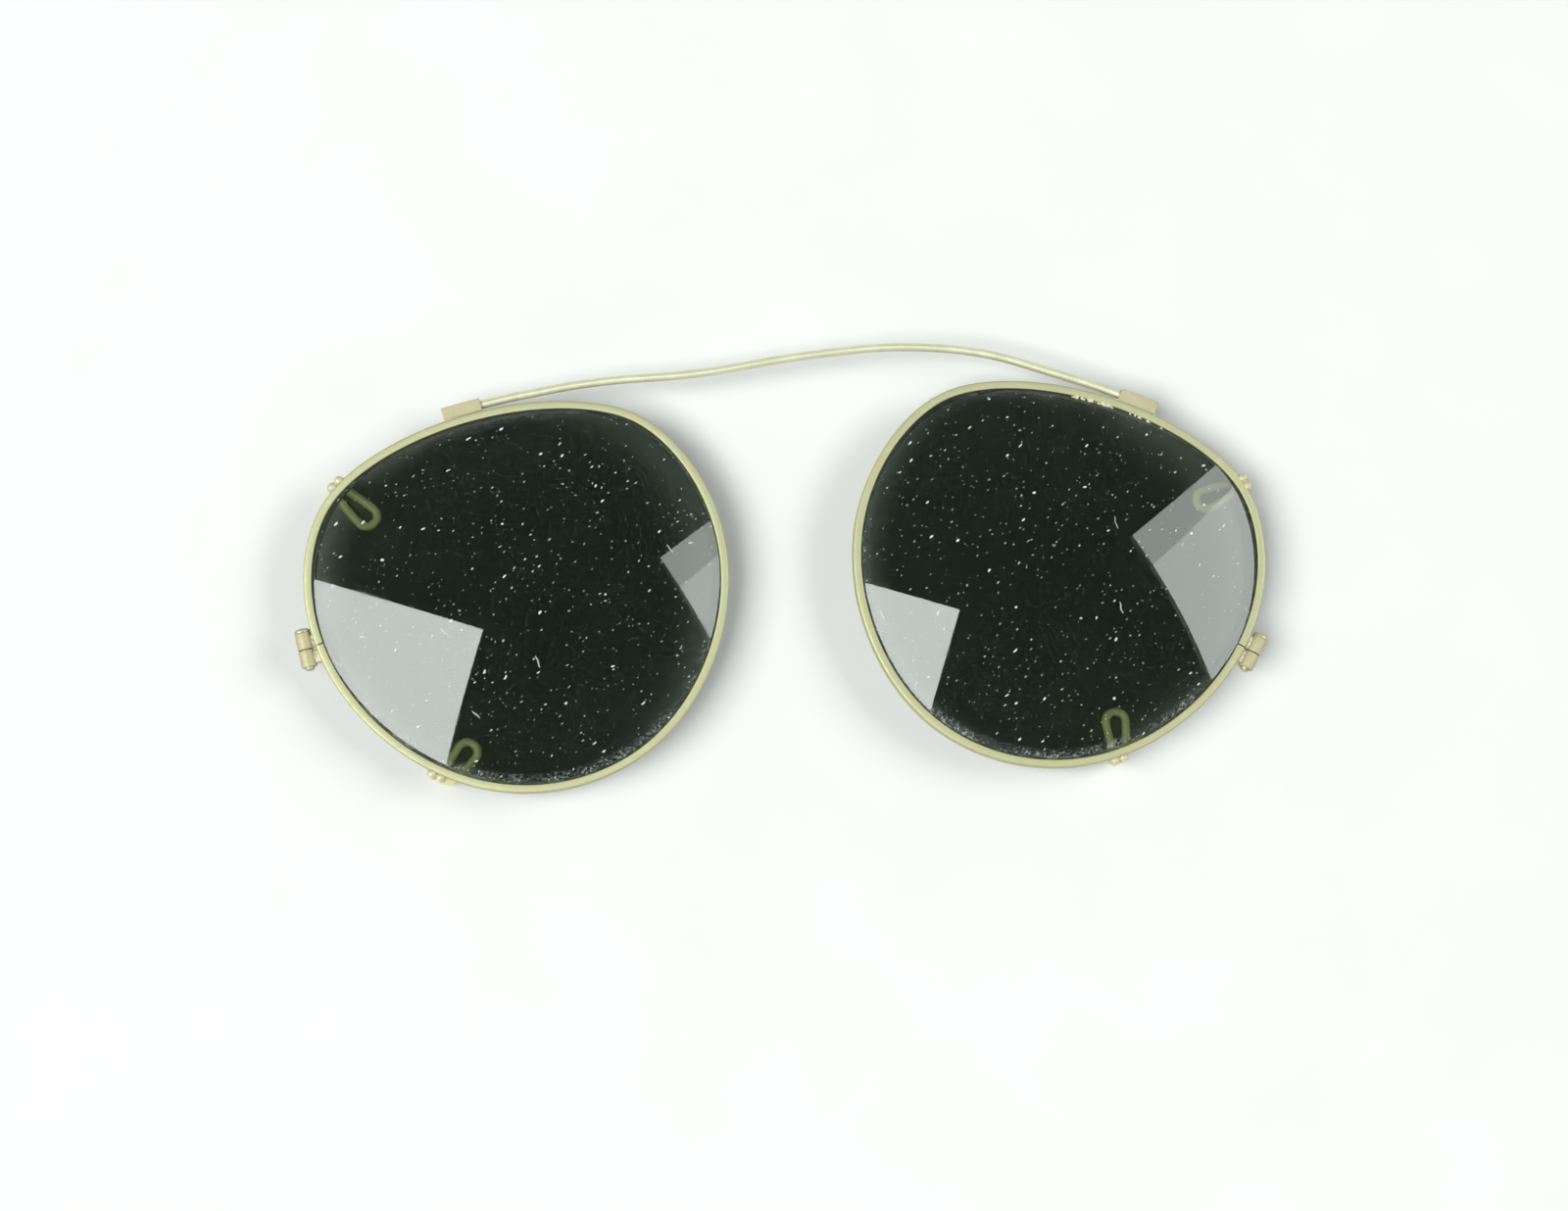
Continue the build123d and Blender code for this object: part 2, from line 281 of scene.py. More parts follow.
def rounded_path(corners, radii, step=0.1):
    """Evenly fine points along straight runs joined by arcs."""
    corners = [Vector(c) for c in corners]
    path = [corners[0]]
    for before, corner, after, radius in zip(corners, corners[1:], corners[2:], radii):
        run_in, run_out = (corner - before).normalized(), (after - corner).normalized()
        turn = run_in.angle(run_out)
        start = corner - run_in * radius * math.tan(turn / 2)
        inwards = (run_out - run_in * run_in.dot(run_out)).normalized()
        pieces = max(5, int(radius * turn / step))
        for i in range(pieces + 1):
            a = turn * i / pieces
            path.append(start + (inwards * (1 - math.cos(a)) + run_in * math.sin(a)) * radius)
    path.append(corners[-1])
    fine = [path[0]]
    for point in path[1:]:
        start = fine[-1]
        pieces = int((point - start).length / (3 * step)) + 1
        fine += [start.lerp(point, (i + 1) / pieces) for i in range(pieces)]
    return fine


def tube(path, radius, round_off, around=36, wobble=None):
    """Rings round a path, with its ends rounded off. Also gives each point's distance from the
    nearer end."""
    walked = [0.0]
    for a, b in zip(path, path[1:]):
        walked.append(walked[-1] + (b - a).length)
    total = walked[-1]

    def at(s):
        i = min(max(int(np.searchsorted(walked, s)), 1), len(path) - 1)
        t = (s - walked[i - 1]) / (walked[i] - walked[i - 1])
        return path[i - 1].lerp(path[i], t), (path[i] - path[i - 1]).normalized()

    ends = [math.radians(a) for a in (0, 18, 36, 54, 72)]
    stations = [(round_off * (1 - math.cos(a)), radius - round_off * (1 - math.sin(a))) for a in ends]
    inner = [(s, radius) for s in walked if 1.1 * round_off < s < total - 1.1 * round_off]
    stations += [(round_off, radius)] + inner + [(total - round_off, radius)]
    stations += [(total - round_off * (1 - math.cos(a)), radius - round_off * (1 - math.sin(a)))
                 for a in reversed(ends)]
    side = at(0)[1].orthogonal()
    rings, distance = [], []
    for s, size in stations:
        centre, tangent = at(s)
        side = (side - tangent * side.dot(tangent)).normalized()
        up = tangent.cross(side)
        ring = []
        for j in range(around):
            a = 2 * math.pi * j / around
            r = size * (1 + (wobble(s, a) if wobble else 0))
            ring.append(centre + (side * math.cos(a) + up * math.sin(a)) * r)
            distance.append(min(s, total - s))
        rings.append(ring)
    return (*loft(rings), distance)


def lathe(profile, around=72, closed=False):
    """Profile of (radius, height) turned round Z."""
    turns = [2 * math.pi * j / around for j in range(around)]
    return loft([[(r * math.cos(a), r * math.sin(a), z) for a in turns] for r, z in profile], closed)


def cut(piece, points, faces, matrix):
    """Takes a block out of a piece for good."""
    cutter = to_object("cutter", points, faces, matrix)
    tool = piece.modifiers.new("cut", "BOOLEAN")
    tool.object = cutter
    tool.solver = "EXACT"
    bpy.context.view_layer.update()
    evaluated = piece.evaluated_get(bpy.context.evaluated_depsgraph_get())
    mesh = bpy.data.meshes.new_from_object(evaluated)
    piece.modifiers.clear()
    piece.data = mesh
    mesh.shade_smooth()
    mesh.set_sharp_from_angle(angle=math.radians(35))
    bpy.data.objects.remove(cutter)


def quarter_round(size):
    """A rounded edge as (inset, distance from the end)."""
    turns = np.radians((0, 22, 45, 68, 90))
    return [(size * (1 - math.sin(a)), size * (1 - math.cos(a))) for a in turns]


def box_mesh(x, y, z):
    """Corners and faces of a block with these half sizes."""
    points = [(a * x, b * y, c * z) for c in (-1, 1) for a, b in ((-1, -1), (1, -1), (1, 1), (-1, 1))]
    faces = [(3, 2, 1, 0), (4, 5, 6, 7)]
    faces += [(i, (i + 1) % 4, 4 + (i + 1) % 4, 4 + i) for i in range(4)]
    return points, faces


# ---- materials ----


class Nodes:
    """Short hand for making a material's nodes."""

    def __init__(self, name):
        self.material = bpy.data.materials.new(name)
        self.material.use_nodes = True
        self.tree = self.material.node_tree
        self.tree.nodes.clear()
        self.output = self.tree.nodes.new("ShaderNodeOutputMaterial")
        place = self.node("ShaderNodeTexCoord")
        to_mm = self.node("ShaderNodeMapping", Scale=(1000, 1000, 1000), Vector=place.outputs["Object"])
        self.mm = to_mm.outputs[0]

    def node(self, kind, settings=None, **inputs):
        node = self.tree.nodes.new(kind)
        for key, value in (settings or {}).items():
            setattr(node, key, value)
        for key, value in inputs.items():
            socket = node.inputs[key.replace("_", " ")]
            if isinstance(value, bpy.types.NodeSocket):
                self.tree.links.new(value, socket)
            else:
                socket.default_value = value
        return node

    def noise(self, scale, detail=3.0, roughness=0.5, distortion=0.0):
        node = self.node("ShaderNodeTexNoise", Vector=self.mm, Scale=scale, Detail=detail,
                         Roughness=roughness, Distortion=distortion)
        return node.outputs[0]

    def cells(self, scale, feature="F1", vector=None, flat=False):
        settings = {"feature": feature, "voronoi_dimensions": "2D" if flat else "3D"}
        return self.node("ShaderNodeTexVoronoi", settings, Vector=vector or self.mm, Scale=scale)

    def remap(self, value, low, high, to_low=0.0, to_high=1.0):
        node = self.node("ShaderNodeMapRange", {"clamp": True}, Value=value, **{
            "From_Min": low, "From_Max": high, "To_Min": to_low, "To_Max": to_high})
        return node.outputs[0]

    def math(self, operation, a, b=0.0):
        node = self.node("ShaderNodeMath", {"operation": operation})
        for socket, value in zip(node.inputs, (a, b)):
            if isinstance(value, bpy.types.NodeSocket):
                self.tree.links.new(value, socket)
            else:
                socket.default_value = value
        return node.outputs[0]

    def mix(self, factor, a, b):
        node = self.tree.nodes.new("ShaderNodeMix")
        node.data_type = "RGBA"
        for socket, value in ((node.inputs[0], factor), (node.inputs[6], a), (node.inputs[7], b)):
            if isinstance(value, bpy.types.NodeSocket):
                self.tree.links.new(value, socket)
            else:
                socket.default_value = value if isinstance(value, float) else (*value, 1)
        return node.outputs[2]

    def wandering(self, scale):
        """Coordinates in millimetres that a noise has pushed about by up to a millimetre."""
        push = self.node("ShaderNodeTexNoise", Vector=self.mm, Scale=scale)
        bent = self.node("ShaderNodeVectorMath", {"operation": "ADD"})
        self.tree.links.new(self.mm, bent.inputs[0])
        self.tree.links.new(push.outputs["Color"], bent.inputs[1])
        return bent.outputs[0]

    def attribute(self, name):
        return self.node("ShaderNodeAttribute", {"attribute_name": name}).outputs["Fac"]

    def bump(self, height, strength, depth_mm, normal=None):
        node = self.node("ShaderNodeBump", Height=height, Strength=strength, Distance=depth_mm / 1000)
        if normal:
            self.tree.links.new(normal, node.inputs["Normal"])
        return node.outputs[0]

    def finish(self, shader):
        self.tree.links.new(shader.outputs[0], self.output.inputs["Surface"])
        return self.material


# Dark colour for pits, and also for the painted shade that ambient occlusion puts in corners.
GRIME_AND_SHADE = (0.10, 0.075, 0.035)
SOLDER_TONE = (0.50, 0.475, 0.32)


def metal(name, base, warm, rough, grain, pits, shine, bare=None, corner_grime_and_shade=0.62):
    """Old champagne-coloured plating: soft patches, fine grain, hairline scratches, pits, grime and
    painted shade in the corners, brighter rubbed edges. bare is the colour shown where the mark
    "worn" is 1, shine how metallic the dulled surface still is, and corner_grime_and_shade how much
    of a corner the grime and painted shade cover."""
    n = Nodes(name)
    patches = n.remap(n.noise(0.32, 4, 0.6, 0.4), 0.36, 0.66)
    colour = n.mix(patches, base, warm)
    fine = n.noise(5.5, 5, 0.65)
    lighter = tuple(min(1.0, c * 1.13) for c in base)
    colour = n.mix(n.remap(fine, 0.4, 0.72, 0.0, 0.55), colour, lighter)
    if bare:
        worn = n.math("MULTIPLY", n.attribute("worn"), n.remap(n.noise(1.8, 4), 0.3, 0.6, 0.55, 1.0))
        colour = n.mix(worn, colour, bare)
    pit_cells = n.cells(3.1)
    chosen = n.remap(pit_cells.outputs["Color"], 0.70, 0.73)
    pit = n.math("MULTIPLY", n.remap(pit_cells.outputs["Distance"], 0.07, 0.19, 1.0, 0.0), chosen)
    pit = n.math("MULTIPLY", pit, n.remap(n.noise(0.5, 2), 0.45, 0.6, 0.0, pits))
    colour = n.mix(pit, colour, GRIME_AND_SHADE)
    lines = n.cells(0.8, "DISTANCE_TO_EDGE", n.wandering(0.25)).outputs["Distance"]
    scratched = n.remap(n.noise(1.3, 1), 0.5, 0.6)
    scratch = n.math("MULTIPLY", n.remap(lines, 0.0, 0.016, 1.0, 0.0), scratched)
    # Grime and painted shade: ambient occlusion darkens the colour in corners and joints, and where parts
    # lie close to other parts or to the floor.
    corner = n.node("ShaderNodeAmbientOcclusion", {"samples": 6}, Distance=0.0007)
    grime_and_painted_shade = n.remap(corner.outputs["AO"], 0.25, 0.72, corner_grime_and_shade, 0.0)
    grime_and_painted_shade = n.math("MULTIPLY", grime_and_painted_shade, n.remap(n.noise(2.2, 4, 0.6), 0.3, 0.6, 0.45, 1.0))
    colour = n.mix(grime_and_painted_shade, colour, GRIME_AND_SHADE)
    point = n.node("ShaderNodeNewGeometry").outputs["Pointiness"]
    rubbed = n.remap(point, 0.52, 0.60, 0.0, 0.55)
    colour = n.mix(rubbed, colour, lighter)
    roughness = n.math("ADD", n.remap(n.noise(1.6, 5, 0.6), 0.3, 0.7, rough - 0.07, rough + 0.1),
                       n.math("MULTIPLY", grime_and_painted_shade, 0.3))
    normal = n.bump(n.noise(14, 3, 0.6), grain * 0.35, 0.012)
    normal = n.bump(n.noise(1.1, 3), grain * 0.35, 0.05, normal)
    normal = n.bump(n.math("ADD", pit, scratch), -0.35, 0.02, normal)
    surface = n.node("ShaderNodeBsdfPrincipled", Base_Color=colour, Metallic=shine, Roughness=roughness,
                     Normal=normal)
    return n.finish(surface)


def tinted_glass():
    """Dark green glass, with dust, lint and a faint haze on its front. The mark "inset" is the
    distance in from the front face's edge, "front" is 1 on the front face, "ground" on the V."""
    n = Nodes("green_glass")
    front, ground = n.attribute("front"), n.attribute("ground")
    smear = n.remap(n.noise(0.16, 5, 0.62, 0.8), 0.42, 0.78)
    roughness = n.math("MAXIMUM", n.math("MULTIPLY", smear, 0.07), n.math("MULTIPLY", ground, 0.55))
    glass = n.node("ShaderNodeBsdfPrincipled", Base_Color=(0.108, 0.138, 0.108, 1), Roughness=roughness,
                   Normal=n.bump(n.noise(0.12, 2), 0.02, 0.05))
    glass.inputs["Transmission Weight"].default_value = 1.0
    glass.inputs["IOR"].default_value = 1.52

    curl = n.wandering(0.6)
    along = {"vector_type": "TEXTURE"}
    streaky = n.node("ShaderNodeMapping", along, Vector=curl, Rotation=(0, 0, 0.65),
                     Scale=(1.75, 0.85, 1))

    def specks(scale, share, size, strength):
        cells = n.cells(scale, flat=True, vector=streaky.outputs[0])
        chosen = n.math("GREATER_THAN", cells.outputs["Color"], 1 - share)
        varied = n.math("MULTIPLY", n.noise(0.9, 2), 2 * size)
        spot = n.math("LESS_THAN", cells.outputs["Distance"], varied)
        return n.math("MULTIPLY", n.math("MULTIPLY", spot, chosen), strength)

    dust = n.math("MAXIMUM", specks(0.5, 0.28, 0.055, 0.95), specks(0.9, 0.3, 0.062, 0.6))
    dust = n.math("MAXIMUM", dust, specks(1.8, 0.26, 0.085, 0.4))
    dust = n.math("MAXIMUM", dust, specks(3.6, 0.25, 0.13, 0.16))
    for turn, share in ((0.5, 0.09), (-0.9, 0.07), (1.9, 0.08)):
        stretch = n.node("ShaderNodeMapping", along, Vector=curl, Rotation=(0, 0, turn),
                         Scale=(4.5, 0.53, 1))
        strands = n.cells(0.5, flat=True, vector=stretch.outputs[0])
        lint = n.math("MULTIPLY", n.math("LESS_THAN", strands.outputs["Distance"], 0.075),
                      n.math("GREATER_THAN", strands.outputs["Color"], 1 - share))
        dust = n.math("MAXIMUM", dust, n.math("MULTIPLY", lint, 0.55))
    low = n.remap(n.attribute("low"), -0.2, 0.9, 0.25, 1.0)
    band = n.math("MULTIPLY", n.remap(n.attribute("inset"), 0.1, 1.0, 1.0, 0.0), low)
    band = n.math("MULTIPLY", band, n.remap(n.noise(0.35, 3), 0.38, 0.6, 0.25, 1.0))
    band = n.math("MULTIPLY", band, n.remap(n.noise(3.2, 6, 0.8), 0.50, 0.62, 0.0, 0.8))
    haze = n.remap(n.noise(0.2, 6, 0.68, 0.6), 0.46, 0.8, 0.0, 0.005)
    cover = n.math("MULTIPLY", n.math("MAXIMUM", n.math("MAXIMUM", dust, band), haze), front)
    powder = n.node("ShaderNodeBsdfPrincipled", Base_Color=(0.50, 0.56, 0.53, 1), Roughness=0.9)
    both = n.node("ShaderNodeMixShader")
    n.tree.links.new(cover, both.inputs[0])
    n.tree.links.new(glass.outputs[0], both.inputs[1])
    n.tree.links.new(powder.outputs[0], both.inputs[2])
    return n.finish(both)


def crumb_material():
    n = Nodes("old_cement")
    colour = n.mix(n.remap(n.noise(4, 4), 0.35, 0.65), (0.66, 0.63, 0.46), (0.42, 0.37, 0.24))
    surface = n.node("ShaderNodeBsdfPrincipled", Base_Color=colour, Roughness=0.72,
                     Normal=n.bump(n.noise(9, 4, 0.7), 0.5, 0.03))
    return n.finish(surface)


MATERIALS = {
    "rim_metal": metal("rim_metal", (0.40, 0.415, 0.25), (0.43, 0.40, 0.225),
                       rough=0.54, grain=0.6, pits=0.7, shine=0.6),
    "fitting_metal": metal("fitting_metal", (0.41, 0.39, 0.24), (0.39, 0.35, 0.205),
                           rough=0.6, grain=0.8, pits=0.6, shine=0.4),
    "wire_metal": metal("wire_metal", (0.66, 0.66, 0.48), (0.58, 0.56, 0.38),
                        rough=0.50, grain=0.5, pits=0.5, shine=0.6),
    "screw_metal": metal("screw_metal", (0.44, 0.41, 0.26), (0.40, 0.35, 0.21),
                         rough=0.46, grain=0.6, pits=0.8, shine=0.55),
    "solder": metal("solder", SOLDER_TONE, (0.46, 0.43, 0.28),
                    rough=0.58, grain=1.0, pits=0.6, shine=0.5, corner_grime_and_shade=0.15),
    "green_glass": tinted_glass(),
}
CRUMBS = crumb_material()
# The hooks are seen through the dark glass, so their metal is a paler and yellower copy of the wire's:
# painted light that brightens them, not a different metal.
HOOK_METAL_PAINTED_BRIGHTER = metal("hook_metal_painted_brighter", (0.86, 0.80, 0.44), (0.78, 0.70, 0.37),
                   rough=0.55, grain=0.5, pits=0.3, shine=0.3, bare=SOLDER_TONE)


def add(piece, body, slot, *nodes, material=None):
    """Gives a piece its material and makes it stand for CAD nodes on a body."""
    piece.data.materials.clear()
    piece.data.materials.append(material or MATERIALS[slot])
    if nodes:
        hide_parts(*nodes)
    if body:
        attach(piece, body)


# ---- the pieces of one unit ----


def hook_names(side):
    return [(name, FITTINGS[side][name]) for name in ("upper_hook", "lower_hook")]


def notch(side, points):
    """Moves points of the rim's outside in where a hook's legs are let into it."""
    gap = WIRE_RADIUS + NOTCH_CLEARANCE
    near = 3
    outside = 0.2
    for name, (angle, *_) in hook_names(side):
        frame_inverse = frame_at(angle).inverted()
        out = frame_at(angle).to_3x3() @ Vector((1, 0, 0))
        for ring in points:
            local = frame_inverse @ Vector(ring[0])
            if abs(local.y) > near or local.x < -near:
                continue
            for i, p in enumerate(ring):
                local = frame_inverse @ Vector(p)
                for leg in (-1, 1):
                    across = local.y - leg * HOOK_PITCH / 2
                    if abs(across) < gap and local.x > outside:
                        limit = HOOK_OUT - math.sqrt(gap * gap - across * across)
                        if local.x > limit:
                            ring[i] = tuple(Vector(ring[i]) - out * (local.x - limit))


def rim_piece(side, place):
    """Eyewire: a rounded strip with a V groove inside, open at its split."""
    half = RIM_DEPTH / 2
    section = rounded_section([
        (RIM_HALF, -half, RIM_EDGE_ROUND), (RIM_HALF, half, RIM_EDGE_ROUND), (-RIM_HALF, half, 0.09),
        (-RIM_HALF, GROOVE_HALF_MOUTH, 0.03), (-RIM_HALF + GROOVE_DEPTH, 0, 0.05),
        (-RIM_HALF, -GROOVE_HALF_MOUTH, 0.03), (-RIM_HALF, -half, 0.09)])
    closing = FITTINGS[side]["closing"][0]
    gap = math.degrees(RIM_SPLIT / 2 / bend_radius(closing))
    stations = list(np.linspace(closing + gap, closing + 360 - gap, 760))
    for name, (angle, *_) in hook_names(side):
        centre = angle if angle > closing else angle + 360
        reach = math.degrees(1.4 / bend_radius(angle))
        stations += list(np.linspace(centre - reach, centre + reach, 90))
    rings = []
    phase = 0.0 if side == "left" else 2.1
    for q in sorted(stations):
        a = math.radians(q)
        x0, y0 = outline(q)
        swell = 0.008 * math.sin(7 * a + phase) + 0.006 * math.sin(17 * a + 2 * phase)
        ring = []
        for x, z in section:
            out = x + swell * (1 if x > 0 else 0)
            rise = 0.012 * math.sin(11 * a + phase) + 0.02 * (1 - (x / RIM_HALF) ** 2) if z > 0.8 else 0
            ring.append((x0 + out * math.cos(a), y0 + out * math.sin(a), z + rise))
        rings.append(ring)
    notch(side, rings)
    piece = to_object(f"{side}_eyewire", *loft(rings), place, 32)
    add(piece, f"{side}_unit", "rim_metal", f"{side}_rim")


def lens_piece(side, place):
    """Glass with spherical faces and a ground V edge that reaches into the rim's groove."""
    apex = -RIM_HALF + GROOVE_DEPTH - LENS_CLEARANCE
    sag = float(np.dot(outline(90), outline(90))) / (2 * LENS_BASE_RADIUS)
    top = LENS_THICKNESS / 2 + sag
    around = np.linspace(0, 360, 360, endpoint=False)

    def face_z(points, radius):
        return top - LENS_BASE_RADIUS + np.sqrt(radius ** 2 - (points ** 2).sum(-1))

    rings, inset, front, ground, low = [], [], [], [], []

    def ring(points, z, kind, edge=None):
        rings.append([(x, y, h) for (x, y), h in zip(points, np.broadcast_to(z, len(points)))])
        depth = np.linalg.norm(points - edge, axis=1) if edge is not None else np.zeros(len(points))
        inset.extend(depth)
        front.extend([1.0 if kind in ("front", "front_ground") else 0.0] * len(points))
        ground.extend([1.0 if "ground" in kind else 0.0] * len(points))
        low.extend(-points[:, 1] / np.maximum(np.linalg.norm(points, axis=1), 1e-6))

    edges = {}
    for radius in (LENS_BASE_RADIUS, LENS_BASE_RADIUS - LENS_THICKNESS):
        offset = np.full(len(around), apex - BEVEL_SLOPE)
        for _ in range(6):
            a = np.radians(around)
            edge = outline(around) + offset[:, None] * np.stack([np.cos(a), np.sin(a)], -1)
            offset = apex - BEVEL_SLOPE * np.abs(face_z(edge, radius))
        edges[radius] = edge
    outer, inner = edges
    shares = np.concatenate([[0.004], np.linspace(0.04, 0.94, 26), [0.965, 0.985, 1.0]])
    for f in shares:
        ring(edges[outer] * f, face_z(edges[outer] * f, outer), "front", edges[outer])
    a = np.radians(around)
    normal = np.stack([np.cos(a), np.sin(a)], -1)
    for face, shares_down in ((outer, (0.93, 0.5, 0.1)), (inner, (0.1, 0.5, 0.93))):
        for share in shares_down:
            z = share * face_z(edges[face], face)
            reach = (apex - BEVEL_SLOPE * np.abs(z))[:, None]
            kind = "front_ground" if face == outer else "ground"
            ring(outline(around) + reach * normal, z, kind)
    for f in shares[::-1]:
        ring(edges[inner] * f, face_z(edges[inner] * f, inner), "back", edges[inner])
    marks = {"inset": inset, "front": front, "ground": ground, "low": low}
    piece = to_object(f"{side}_sun_lens", *loft(rings), place, 30, marks)
    add(piece, f"{side}_unit", "green_glass", f"{side}_lens")


def block_frame(side):
    angle, turn = FITTINGS[side]["block"]
    return frame_at(angle) @ shift(BLOCK_OUT, 0, 0) @ spin(turn, "Z")


def bar_outline(half_x, half_z, corner, turns):
    """Rounded rectangle as one point in each direction."""
    out = []
    for a in turns:
        c, s = abs(math.cos(a)), abs(math.sin(a))
        reach = min(half_x / max(c, 1e-9), half_z / max(s, 1e-9))
        if reach * c > half_x - corner and reach * s > half_z - corner:
            along = c * (half_x - corner) + s * (half_z - corner)
            far = (half_x - corner) ** 2 + (half_z - corner) ** 2
            reach = along + math.sqrt(max(along * along - far + corner * corner, 0))
        out.append((reach * math.cos(a), reach * math.sin(a)))
    return out


def block_piece(side, place):
    """Filed square bar with softened edges and a blind bore at its nose end."""
    width, length, depth = BLOCK
    corner = math.atan2(depth, width)
    turns = [2 * math.pi * i / 72 for i in range(72)]
    for middle in (corner, math.pi - corner, math.pi + corner, -corner % (2 * math.pi)):
        turns += [middle + 0.022 * (i - 5.5) for i in range(12)]
    turns = sorted(turns)

    def circle(radius, y):
        return [(radius * math.cos(a), y, radius * math.sin(a)) for a in turns]

    def square(inset, y):
        bar = bar_outline(width / 2 - inset, depth / 2 - inset, 0.1, turns)
        return [(x, y, z) for x, z in bar]

    nose, tail = -length / 2, length / 2
    rings = [circle(0.02, nose + BORE_DEPTH), circle(BORE_RADIUS, nose + BORE_DEPTH),
             circle(BORE_RADIUS, nose + 0.04), circle(BORE_RADIUS + 0.03, nose)]
    edge = quarter_round(0.07)
    rings += [square(inset, nose + y) for inset, y in edge]
    rings += [square(0, nose + length * t) for t in np.linspace(0.05, 0.95, 14)]
    rings += [square(inset, tail - y) for inset, y in reversed(edge)]
    piece = to_object(f"{side}_wire_block", *loft(rings), place @ block_frame(side), 28)
    add(piece, f"{side}_unit", "fitting_metal", f"{side}_bridge_block")


def rim_line(frame_matrix, angle):
    """How far out the rim's outside is in a fitting's frame, as a function of Y there."""
    spread = 14
    inverse = frame_matrix.inverted()
    local = []
    for q in np.linspace(angle + spread, angle - spread, 120):
        x, y = outline(q, RIM_HALF)
        local.append(inverse @ Vector((x, y, 0)))
    local.sort(key=lambda p: p.y)
    ys, xs = [p.y for p in local], [p.x for p in local]
    return lambda y: float(np.interp(y, ys, xs))


def block_solder_piece(side, place):
    """Thin bed of solder with hollow sides between the block and the rim."""
    matrix = block_frame(side)
    rim_x = rim_line(matrix, FITTINGS[side]["block"][0])
    rings = []
    end = BLOCK[1] / 2 + SOLDER_SHOWING
    for y in np.linspace(-end, end, 40):
        past = max(0.0, abs(y) - BLOCK[1] / 2)
        low = rim_x(y) - 0.05
        high = -BLOCK[0] / 2 + (0.03 if past == 0 else 0.09 - 0.9 * past * past - 0.3 * past)
        taper = 1 - 0.35 * abs(y / end) ** 6
        ripple = 0.02 * math.sin(9 * y) + 0.015 * math.sin(23 * y)
        hollow = ((low + high) / 2, (0.64 + ripple) * taper)
        top = [(low, (0.72 + ripple) * taper), hollow, (high, 0.68 * taper)]
        rings.append([(x, y, z) for x, z in top] + [(x, y, -z) for x, z in reversed(top)])
    piece = to_object(f"{side}_block_seam", *loft(rings), place @ matrix, 60)
    add(piece, f"{side}_unit", "solder", f"{side}_bridge_block_solder")


def closing_frame(side):
    angle, turn = FITTINGS[side]["closing"]
    return frame_at(angle) @ shift(BARREL_OUT, 0, 0) @ spin(turn, "Z") @ spin(90, "X")


def closing_pieces(side, place):
    """Two barrels, the screw through them and the solder that ties them to the rim."""
    matrix = closing_frame(side)
    body = f"{side}_unit"
    half = BARREL_LENGTH / 2
    arc = quarter_round(0.1)
    profile = [(BARREL_RADIUS - inset, -half + z) for inset, z in arc]
    profile += [(BARREL_RADIUS - inset, half - z) for inset, z in reversed(arc)]
    profile += [(BARREL_BORE_RADIUS, half), (BARREL_BORE_RADIUS, -half)]
    for name, way in (("upper", 1), ("lower", -1)):
        middle = way * (BARREL_SEAM + BARREL_LENGTH) / 2
        piece = to_object(f"{side}_{name}_closing_barrel", *lathe(profile, closed=True),
                          place @ matrix @ shift(0, 0, middle), 35)
        add(piece, body, "fitting_metal", f"{side}_{name}_barrel")

    stack = BARREL_LENGTH + BARREL_SEAM / 2
    top = stack + SCREW_HEAD_LENGTH
    full = 1.25
    fall = 0.24 / (1 - math.cos(full))
    dome = [(BARREL_RADIUS * math.sin(a), top - fall * (1 - math.cos(a)))
            for a in np.linspace(full, 0.03, 9)]
    tip = [(0.02, SCREW_TIP), (0.32, 0.38), (0.45, 0.31), (0.53, 0.2), (SCREW_SHANK_RADIUS, 0.1)]
    profile = [(radius, -stack - z) for radius, z in tip]
    profile += [(SCREW_SHANK_RADIUS, stack), (0.84, stack), (0.88, stack + 0.04), (0.89, stack + 0.16)]
    profile += dome
    screw = to_object(f"{side}_slotted_screw", *lathe(profile), place @ matrix, 35)
    turned = 20 if side == "left" else -35
    slot_place = place @ matrix @ shift(0, 0, top) @ spin(turned, "Z")
    cut(screw, *box_mesh(1.4, SLOT_HALF_WIDTH, SLOT_DEPTH), slot_place)
    add(screw, body, "screw_metal", f"{side}_closing_screw")

    points, faces = [], []
    rim_x = rim_line(frame_at(FITTINGS[side]["closing"][0]), FITTINGS[side]["closing"][0])
    for way in (-1, 1):
        rings = []
        for t in np.linspace(0, 1, 16):
            z = way * (WEB_START + t * WEB_LENGTH)
            low = rim_x(-z) - BARREL_OUT - 0.35
            ease = 1 - 0.35 * abs(2 * t - 1) ** 4
            ripple = 0.03 * math.sin(17 * t + way) + 0.02 * math.sin(41 * t)
            web = [(low, 0.70 * ease), (low + 0.36, (0.60 + ripple) * ease),
                   (-1.0, (0.42 + ripple) * ease), (-0.84, (0.44 + ripple) * ease),
                   (-0.62, 0.55 * ease), (-0.55, 0.30)]
            rings.append([(x, y, z) for x, y in web] + [(x, -y, z) for x, y in reversed(web)])
        more, more_faces = loft(rings)
        faces += [tuple(i + len(points) for i in face) for face in more_faces]
        points += more
    piece = to_object(f"{side}_closing_web", points, faces, place @ matrix, 50)
    add(piece, body, "solder", f"{side}_closing_solder")


def hook_leg(fitting, side):
    """Corners of one leg of a hook, from its foot at the rim's front to the end of the loop."""
    angle, drift, lean, length = fitting
    pin = shift(HOOK_OUT - HOOK_RAKE, drift, -HOOK_DEPTH) @ spin(lean, "Z")
    return [
        Vector((HOOK_OUT, side * HOOK_PITCH / 2, HOOK_FRONT)),
        Vector((HOOK_OUT, side * HOOK_PITCH / 2, -HOOK_KNEE)),
        pin @ Vector((0, side * HOOK_PITCH / 2, 0)),
        pin @ Vector((-HOOK_NECK, side * HOOK_NECK_SPREAD / 2, 0)),
        pin @ Vector((-length, side * HOOK_LOOP_SPREAD / 2, 0)),
    ]


